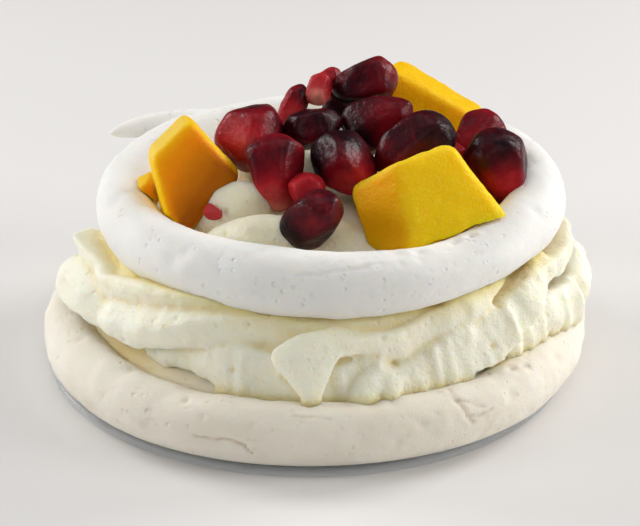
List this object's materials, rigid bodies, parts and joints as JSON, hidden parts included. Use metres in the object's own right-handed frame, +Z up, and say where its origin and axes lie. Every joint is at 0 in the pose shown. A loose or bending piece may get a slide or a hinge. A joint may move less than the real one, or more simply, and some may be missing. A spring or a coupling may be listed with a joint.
{
  "type": "pavlova",
  "caption": "One-portion pavlova on a clear disc: a meringue nest filled with whipped cream, a meringue ring, and mango and pomegranate on top.",
  "frame": {"origin": "middle of the underside of the clear disc that the cake stands on", "axes": "+Z up out of the cake; the front, where a fold of cream hangs down in the middle, faces -Y; +X is to the right seen from the front"},
  "size_m": [0.0907, 0.0898, 0.0475],
  "materials": {
    "disc": "clear, polished",
    "base_meringue": "baked meringue, ivory, matt, finely cracked and pitted",
    "ring_meringue": "baked meringue, white, matt, smooth with fine pits",
    "cream": "whipped cream, soft satin, small air bubbles",
    "mango": "wet cut fruit, fine grain",
    "aril": "wet, translucent dark red"
  },
  "bodies": {
    "root": {"disc": "disc", "meringue_base": "base_meringue", "meringue_ring": "ring_meringue", "mango_left": "mango", "mango_front": "mango", "mango_back": "mango", "mango_small": "mango", "aril_01": "aril", "aril_02": "aril", "aril_03": "aril", "aril_04": "aril", "aril_05": "aril", "aril_06": "aril", "aril_07": "aril", "aril_08": "aril", "aril_09": "aril", "aril_10": "aril", "aril_11": "aril", "aril_12": "aril", "aril_13": "aril", "aril_14": "aril", "aril_15": "aril", "aril_16": "aril", "aril_17": "aril", "aril_18": "aril", "cream": "cream"}
  },
  "joints": []
}
